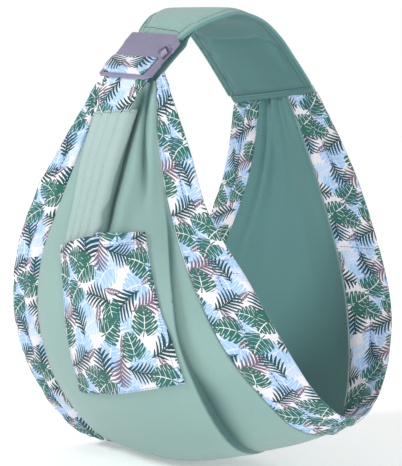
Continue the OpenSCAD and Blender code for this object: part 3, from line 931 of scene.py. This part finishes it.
# ---- pin-tucked strap on the panel ----
def rib_u(s, k):
    """The strap's left (k = 1) or right (k = 2) edge on the panel."""
    rows = ((0.041, 0.0, 0.66), (0.05, 0.02, 0.63), (0.1, 0.07, 0.56),
            (0.175, 0.18, 0.485), (0.245, 0.25, 0.48), (0.3, 0.26, 0.48))  # fmt: skip
    return marks(s, *[(r[0], r[k]) for r in rows])


def rib_at(v, s, h):
    # Pulled by the loop, its right edge runs in waves
    wave = 0.005 * np.sin(95 * s + 2 * np.sin(31 * s)) * v**3 * smooth(s, 0.05, 0.08)
    return on_cloth(rib_u(s, 1) * (1 - v) + rib_u(s, 2) * v + wave, s, h)


TUCKS = 4
line = lambda s: rib_at(0.5 + 0 * s, s, 0)
S, run = along(line, 0.0425, 0.262, 2.4)
V = np.broadcast_to(np.linspace(0, 1, 8 * TUCKS + 1)[None, :], (len(S), 8 * TUCKS + 1))
SS = np.broadcast_to(S[:, None], V.shape)
wide = np.linalg.norm(rib_at(1 + 0 * S, S, 0) - rib_at(0 * S, S, 0), axis=-1)
cut = np.stack([V * 52, np.broadcast_to(run[:, None], V.shape)], -1)
tuck = np.abs(np.sin(math.pi * TUCKS * V)) ** 0.5
far = (np.abs((V * TUCKS + 0.5) % 1 - 0.5) / TUCKS) * wide[:, None]
pucker = 0.45 * ripple(run[:, None] + 5 * np.round(V * TUCKS), 5) * hump(far - 2, 2.2)
settle = 1 - 0.55 * smooth(S, 0.235, 0.255)[:, None]
top_end = 1 - 0.45 * hump(run[:, None], 3)
base = 1.75 + 1.6 * smooth(V, 0.86, 1.0) * (1 - smooth(SS, 0.2, 0.24))
high = base + (0.8 + 2.5 * tuck + pucker) * settle * top_end
piece = Piece()
piece.slab(rib_at(V, SS, high), rib_at(V, SS, base), cut)
ribbed = piece.make("pin_tucked_strap", [TUCKED], "carrier", "seafoam_cotton",
                    ["ribbed_strap"])  # fmt: skip
smoothed(ribbed)
q = Piece()
n = normal_of(cloth, rib_u(S, 1) * 0.5 + rib_u(S, 2) * 0.5, S)
for k in range(1, TUCKS):
    v = k / TUCKS + 0 * S
    h = base[:, 8 * k] + 0.85 * settle[:, 0]
    q.stitches(rib_at(v, S, h)[1:-2], n[1:-2], 0, 3.6, 2.5, 0.3, 0.1)
row = 2
q.stitches(rib_at(V[row, 1:-1], SS[row, 1:-1], high[row, 1:-1]),
           np.repeat(n[row][None], V.shape[1] - 2, 0), 1, 3.2, 2.2, 0.34)  # fmt: skip
q.make("pin_tucked_stitches", [THREAD, THREAD_GREY], "carrier", "seafoam_cotton")


# ---- patch pocket ----
POCKET_W, POCKET_L = 150, 172


def pocket_u(v, t):
    l, r = 0.24 + 0.26 * t * (1 - t), 0.805 + 0.1 * t * (1 - t)
    return l + (r - l) * v


def pocket_s(v, t):
    a, b = 0.244 - 0.034 * v, 0.425 - 0.024 * v
    return a + (b - a) * t


def pocket_at(v, t, h):
    lift = (
        FABRIC_T / 2 + 1.7
        + 3.0 * np.maximum(0, 1 - 4 * t) * np.maximum(0, 1 - 1.6 * v)
        + 13.5 * (1 - t) ** 3 * np.sin(math.pi * v) ** 1.3
    )  # fmt: skip
    return on_cloth(pocket_u(v, t), pocket_s(v, t), lift + h)


def pocket_part(name, t0, t1, rows, extra, replaces):
    T, V = np.meshgrid(np.linspace(t0, t1, rows), np.linspace(0, 1, 61), indexing="ij")
    # Turned-under edges are a little thicker, and the cloth puckers beside them
    side = np.minimum(V, 1 - V) * POCKET_W
    low = (1 - T) * POCKET_L
    turned = 0.35 * (1 - smooth(side, 3.5, 5)) + 0.35 * (1 - smooth(low, 3.5, 5))
    waves = 0.35 * ripple(T * POCKET_L + 0 * V, 6) * hump(side - 5, 5)
    waves = waves + 0.35 * ripple(V * POCKET_W + 0 * T, 7) * hump(low - 5, 5)
    slack = 0.9 * np.sin(5.2 * V + 3.1 * T) * np.sin(7 * T - 2 * V + 0.6) * smooth(
        side, 4, 25
    ) * smooth(low, 4, 25)  # fmt: skip
    h = waves + slack
    n = normal_of(cloth, pocket_u(V, T), pocket_s(V, T))
    mid = pocket_at(V, T, h)
    t = (0.7 + turned + extra)[..., None]
    cut = np.stack([V * POCKET_W + 8, T * POCKET_L + 40], -1)
    p = Piece()
    p.slab(mid + n * t, mid - n * 0.7, cut)
    ob = p.make(name, [PRINT], "carrier", "leaf_print_cotton", replaces)
    return ob, mid + n * t, n


pocket, face, n = pocket_part("pocket_cloth", 0.083, 1.0, 80, 0.0, ["pocket_panel"])
q = Piece()
for col in (1, -2):
    q.stitches(face[:, col], n[:, col], 0, 3.6, 2.6, 0.3)
q.stitches(face[-2, 1:-1], n[-2, 1:-1], 0, 3.6, 2.6, 0.3)
hem, hem_face, hn = pocket_part("pocket_hem_cloth", 0.0, 0.081, 9, 0.35, ["pocket_hem"])
q.stitches(hem_face[-2], hn[-2], 0, 3.6, 2.6, 0.3)
pocket_thread = q.make("pocket_stitches", [THREAD_GREY], "carrier", "leaf_print_cotton")

# ---- shoulder pad ----
PAD_END = 0.945
PAD_SEAM = 7


def pad_pt(s, x, h):
    s, x, h = np.broadcast_arrays(np.asarray(s, float), x, h)
    v = at(PAD, s)
    t = unit((at(PAD, s + 0.01) - at(PAD, s - 0.01))[..., :3])
    w0 = unit(v[..., 3:6])
    n = unit(np.cross(w0, t))
    return v[..., :3] + np.cross(t, n) * (x * v[..., 3] / 2)[..., None] + n * h[..., None]


def pad_up(s):
    return unit(pad_pt(s, 0 * s, 1.0 + 0 * s) - pad_pt(s, 0 * s, 0 * s))


S, run = along(lambda s: at(PAD, s)[:, :3], 0.0, PAD_END, 4.3)
m = 31
x = np.linspace(-1, 1, m)
X, SS = np.broadcast_to(x, (len(S), m)), np.broadcast_to(S[:, None], (len(S), m))
hw = at(PAD, S)[:, 3:4] / 2
far = (1 - np.abs(X)) * hw
seam = hump(far - PAD_SEAM, 2.6)
ends = hump(run[:, None], 5) + hump(run[:, None] - run[-1], 5)
crown = (1 - np.abs(X) ** 7) ** 0.5
top = 2.6 + 4.6 * crown * (1 - 0.38 * seam) * (1 - 0.42 * ends)
low = 1.9 - 1.0 * crown * (1 - 0.5 * seam) * (1 - 0.3 * ends)
cut = np.stack([X * hw + 70, np.broadcast_to(run[:, None], X.shape)], -1)
piece = Piece()
piece.slab(pad_pt(SS, X, top), pad_pt(SS, X, low), cut, (0, 1))
pad = piece.make("shoulder_pad", [COTTON, LINING], "carrier", "seafoam_cotton",
                 ["pad_cover", "pad_foam", "pad_lining"])  # fmt: skip
held = np.zeros((len(S), 2 * m), bool)
held[:, [0, m - 1, m, 2 * m - 1]] = True
# The columns nearest to the two seams, which lie PAD_SEAM in from the edges
seams = [
    np.argmin(np.abs(far - PAD_SEAM) + 99 * (np.sign(x) != side), axis=1) for side in (-1, 1)
]
r = np.arange(len(S))
for ids in seams:
    held[r, ids] = held[r, 2 * m - 1 - ids] = True
held[[0, -1]] = True
puff(pad, held.ravel(), 2.4, 4.0, -0.03)
co = points_of(pad).reshape(len(S), 2 * m, 3) * 1000
up = pad_up(S)[:, None]
# Small pleats where the pad is gathered into the buckle, and puckers at its edges
pleat = 0.9 * np.cos(2 * math.pi * X * hw / 10.5 + 0.8) * np.exp(-run[:, None] / 16)
pucker = 0.3 * ripple(run[:, None] + 0 * X, 9) * hump(far - 5, 4)
co[:, :m] += up * (pleat + pucker)[..., None] * (far > 0.5)[..., None]
co[:, m:] -= up * (0.3 * ripple(run[:, None] + 0 * X, 11) * hump(far - 5, 4))[:, ::-1, None]
put_points(pad, co.reshape(-1, 3) / 1000)
smoothed(pad)
q = Piece()
for ids in seams:
    for turn, mat in ((1, 0), (-1, 1)):
        cols = ids if turn > 0 else 2 * m - 1 - ids
        line = (co[r, cols - 1] + 4 * co[r, cols] + co[r, cols + 1]) / 6
        q.stitches(line, turn * up[:, 0], mat, 4.4, 3.2, 0.5, 0.25)
q.stitches(co[2, 1 : m - 1], np.repeat(up[2], m - 2, 0), 1, 4.0, 2.9, 0.5, 0.3)
q.make("pad_stitches", [THREAD, THREAD_DARK], "carrier", "seafoam_cotton")
q = Piece()
for side in (-1, 1):
    edge_line = pad_pt(S, side + 0 * S, 2.3 + 0 * S)
    q.tube(edge_line, 1.9, pad_up(S))
q.make("pad_piping", [BINDING], "carrier", "seafoam_cotton")

# Binding across the pad's back end
S = np.linspace(0.944, 0.9995, 11)
x = np.linspace(-1, 1, 29)
X, SS = np.broadcast_to(x, (11, 29)), np.broadcast_to(S[:, None], (11, 29))
across = np.linspace(-1, 1, 11)[:, None]
full = 4.6 * (1 - np.abs(across) ** 6) ** 0.5 * (1 - 0.5 * np.abs(X) ** 8) + 0.3
wave = 0.25 * ripple(X * 66, 12) * (1 - np.abs(across))
cut = np.stack([X * 67, SS * 270], -1)
# It reaches past the strap's end, over the tops of the rails and the pouch
ahead = unit(at(PAD, 0.999)[:3] - at(PAD, 0.97)[:3]) * (2.6 * smooth(across, 0.3, 1))[..., None]
piece = Piece()
piece.slab(pad_pt(SS, X * 1.005, 4.4 + full + wave) + ahead,
           pad_pt(SS, X * 1.005, 4.4 - full + wave) + ahead, cut, (0, 1))  # fmt: skip
hem_band = piece.make("pad_hem", [COTTON, LINING], "carrier", "seafoam_cotton",
                      ["pad_back_hem"])  # fmt: skip
smoothed(hem_band)
q = Piece()
up = pad_up(S)
for row in (2, 8):
    n = np.repeat(up[row][None], 29, 0)
    q.stitches(pad_pt(SS[row], x, 4.4 + full[row] + wave[row]) + ahead[row], n, 0, 3.8, 2.7, 0.34)
    q.stitches(pad_pt(SS[row], x, 4.4 - full[row] + wave[row]) + ahead[row], -n, 1, 3.8, 2.7, 0.34)
q.make("pad_hem_stitches", [THREAD, THREAD_DARK], "carrier", "seafoam_cotton")


# ---- straps round the buckle ----
BUCKLE_AT, BUCKLE_TURN, BUCKLE_L = (-2, -83, -32), (38, 5, 8), 84


def buckle_pt(x, y, z):
    """Place in the CAD frame of a point given across, up and out of the buckle."""
    a, b, c = (math.radians(k) for k in BUCKLE_TURN)
    y = y - BUCKLE_L
    y, z = y * math.cos(a) - z * math.sin(a), y * math.sin(a) + z * math.cos(a)
    x, z = x * math.cos(b) + z * math.sin(b), -x * math.sin(b) + z * math.cos(b)
    x, y = x * math.cos(c) - y * math.sin(c), x * math.sin(c) + y * math.cos(c)
    return np.stack(np.broadcast_arrays(x, y, z), -1) + np.array(BUCKLE_AT)


OUT = buckle_pt(0.0, 0.0, 1.0) - buckle_pt(0.0, 0.0, 0.0)


def ribbon(rows, thick, steps, cut_from=(0, 0), wavy=0.0):
    """A flat band through rows of points (n, m, 3)."""
    rows = np.asarray(rows, float)
    n, m = rows.shape[:2]
    k = np.linspace(0, 1, (n - 1) * steps + 1)
    grid = at(rows.reshape(n, -1), k).reshape(len(k), m, 3)
    t = np.gradient(grid, axis=0)
    w = np.gradient(grid, axis=1)
    nrm = unit(np.cross(t, w))
    run = lengths(grid[:, m // 2])
    across = lengths(grid[len(k) // 2])
    cut = np.stack(
        [
            np.broadcast_to(across[None, :] + cut_from[0], (len(k), m)),
            np.broadcast_to(run[:, None] + cut_from[1], (len(k), m)),
        ],
        -1,
    )
    grid = grid + nrm * (wavy * ripple(across[None, :] + run[:, None] / 3, 13))[..., None]
    piece = Piece()
    piece.slab(grid + nrm * thick / 2, grid - nrm * thick / 2, cut)
    return piece, grid, nrm


v = np.linspace(-1, 1, 25)


def panel_row(s, a, b, h):
    """Across the top of the panel, straight over its folds."""
    u = np.clip(a + (b - a) * (v + 1) / 2, -0.08, 1)
    return pan(u, s + 0 * v) + normal_of(pan, u, s + 0 * v) * h



def strap_row(y, z, left, right):
    """Across the buckle; the cloth droops a little past the plug's sides."""
    x = left + (right - left) * (v + 1) / 2
    droop = 2.4 * smooth(np.abs(x), 30, 37) * (z > 5)
    return buckle_pt(x, y + 0 * x, z - droop)


# y, z, left and right edge: up the front, over the plug's bars and down behind
loop = [(-3, -5.6, -30, 29), (0.4, -3.0, -29, 28.4), (3, -0.6, -28.4, 28.2),
        (5.2, 2.0, -28.2, 28.2), (7.2, 4.9, -29.4, 28.2), (11, 6.1, -34, 29),
        (17, 6.4, -36.2, 30), (24, 6.2, -36.4, 30.2), (31, 6.2, -36, 30.4),
        (35.6, 6.5, -34.5, 30.4), (37.3, 6.1, -33, 30), (36.4, 5.6, -30, 29),
        (33.4, 5.4, -28.4, 28.2), (31.4, 3, -28, 28), (30.4, 0, -27.6, 27.6),
        (28.6, -3.8, -27.4, 27.4), (24, -5.3, -27.4, 27.4), (10, -7.2, -27.4, 27.4),
        (3, -8.6, -27.4, 27.4), (-4, -8.9, -27, 27)]  # fmt: skip
rows = [panel_row(0.055, 0.03, 0.57, 2.4), panel_row(0.047, 0.0, 0.61, 2.9),
        panel_row(0.038, -0.02, 0.65, 4.6), panel_row(0.027, -0.04, 0.7, 6.6),
        panel_row(0.016, -0.06, 0.78, 8.0)]  # fmt: skip
rows += [strap_row(*p) for p in loop]
rows += [panel_row(0.027, 0.03, 0.63, 3.4), panel_row(0.041, 0.05, 0.58, 1.9)]
piece, grid, nrm = ribbon(rows, 1.0, steps=6, cut_from=(16, 88))
strap = piece.make("adjuster_strap_cloth", [PRINT], "plug", "leaf_print_cotton", ride=False)
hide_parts("adjuster_strap", "strap_end")
tuple(grid[12, 12] / 1000)
tuple(grid[33, 12] / 1000)
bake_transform(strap)  # fmt: skip

# Webbing tab round the socket's bar
path = [(85.4, 0.9), (80, 0.8), (75.6, 0.2), (74.3, -2.6), (74.7, -6), (77, -7.9),
        (81, -8.3), (85.4, -8.2)]  # fmt: skip
rows = [buckle_pt(v * 27.8, y, z) for y, z in path]
piece, grid, nrm = ribbon(rows, 1.2, steps=4)
piece.make("pad_tab", [COTTON], "carrier", "webbing", ["pad_front_tab"])

# Lining flap behind the buckle
path = [(112, -6.4, 39), (98, -7, 38), (91, -9.6, 38), (85, -11.4, 38), (60, -11.4, 37),
        (36, -11.4, 36), (22, -12.4, 36), (12, -19.5, 36), (2, -31, 35), (-9, -44, 34)]  # fmt: skip
v = np.linspace(-1, 1, 31)
rows = [buckle_pt(v * w, y, z + 0.3 * np.cos(5 * v + y / 9)) for y, z, w in path]
piece, grid, nrm = ribbon(rows, 1.8, steps=8, wavy=0.25)
flap = piece.make("backing_flap", [LINING], "carrier", "teal_lining",
                  ["buckle_backing_flap"])  # fmt: skip
q = Piece()
for col in (1, -2):
    q.stitches(grid[:, col], -nrm[:, col], 0, 4.0, 2.8, 0.32, 1.0)
    q.stitches(grid[:, col], nrm[:, col], 0, 4.0, 2.8, 0.32, 1.0)
q.make("flap_stitches", [THREAD_DARK], "carrier", "teal_lining")

# Binding that holds the gathers behind the panel's top edge
U, SS = np.meshgrid(np.linspace(0.05, 0.95, 40), np.linspace(0.006, 0.047, 14))
h = FABRIC_T / 2 + 0.5 + 0.9 * (1 - np.abs(np.linspace(-1, 1, 14))[:, None] ** 4) ** 0.5
cut = np.stack([U * 80, SS * 900], -1)
piece = Piece()
piece.slab(on_cloth(U, SS, -FABRIC_T / 2 - 0.3), on_cloth(U, SS, -h - 0.9), cut)
piece.make("gather_binding", [BINDING], "carrier", "teal_lining", ["front_gather_band"])


# ---- buckle: the CAD shapes with softened edges and moulded detail ----
def moulded(node, body, material, soften):
    bm = bmesh.new()
    bm.from_mesh(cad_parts[node].data)
    bmesh.ops.remove_doubles(bm, verts=bm.verts, dist=2e-6)
    bmesh.ops.dissolve_limit(bm, angle_limit=math.radians(2), verts=bm.verts, edges=bm.edges)
    mesh = bpy.data.meshes.new(node + "_moulded")
    bm.to_mesh(mesh)
    bm.free()
    for layer in list(mesh.uv_layers):
        mesh.uv_layers.remove(layer)
    mesh.materials.clear()
    mesh.materials.append(material)
    mesh.polygons.foreach_set("material_index", np.zeros(len(mesh.polygons), np.int32))
    mesh.polygons.foreach_set("use_smooth", np.ones(len(mesh.polygons), bool))
    ob = bpy.data.objects.new(node + "_moulded", mesh)
    scene.collection.objects.link(ob)
    b = ob.modifiers.new("soften", "BEVEL")
    b.width, b.segments, b.limit_method = soften / 1000, 3, "ANGLE"
    b.angle_limit = math.radians(32)
    b.harden_normals = True
    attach(ob, body)
    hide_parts(node)
    return ob


moulded("buckle_socket", "carrier", PLASTIC, 1.0)
moulded("buckle_plug", "plug", PLASTIC, 0.8)
for side, body in ((1, "right_arm"), (-1, "left_arm")):
    node = "latch_arm_right" if side > 0 else "latch_arm_left"
    # The latch arms and their grips take the lighter copy of the plastic, a painted highlight
    moulded(node, body, PLASTIC_PAINTED_HIGHLIGHT, 0.6)
    grips = Piece()
    for k in range(5):
        a = 3.2 + 2.2 * k
        reach = 28.45 + max(0, 0.0081 * a * (a + 10) - 0.25)
        z = np.linspace(-2.6, 2.6, 7)
        grips.tube(buckle_pt(side * reach, 46 + a, z), 0.62, OUT[None])
    grips.make(body + "_grips", [PLASTIC_PAINTED_HIGHLIGHT], body, "buckle_plastic")

# ---- finish ----
floor_mesh = bpy.data.meshes.new("floor")
z, far = cad_box[0][2] - FLOOR_DROP, FLOOR_HALF
floor_mesh.from_pydata(
    [(-far, -far, z), (far, -far, z), (far, far, z), (-far, far, z)], [], [(0, 1, 2, 3)]
)
floor = bpy.data.objects.new("floor", floor_mesh)
scene.collection.objects.link(floor)
m, tree, shader = begin("floor_paper")
tree.links.new(
    shaded(tree, (250, 250, 250), (253, 253, 253),
           noise(tree, tree.nodes.new("ShaderNodeTexCoord").outputs["Object"], 3.0)),
    shader.inputs["Base Color"],
)  # fmt: skip
shader.inputs["Roughness"].default_value = 0.9
# Painted light: the floor glows, faintly near the carrier and more strongly further out, so that it
# fades into the white backdrop
reach = vec(tree, "LENGTH", tree.nodes.new("ShaderNodeTexCoord").outputs["Object"])
floor_glow = tree.nodes.new("ShaderNodeMapRange")
floor_glow.interpolation_type = "SMOOTHSTEP"
floor_glow.inputs["From Min"].default_value = 0.7
floor_glow.inputs["From Max"].default_value = 2.6
floor_glow.inputs["To Min"].default_value = 0.25
floor_glow.inputs["To Max"].default_value = 0.56
tree.links.new(reach.node.outputs["Value"], floor_glow.inputs["Value"])
tree.links.new(floor_glow.outputs[0], shader.inputs["Emission Strength"])
shader.inputs["Emission Color"].default_value = (1, 1, 1, 1)
floor_mesh.materials.append(m)
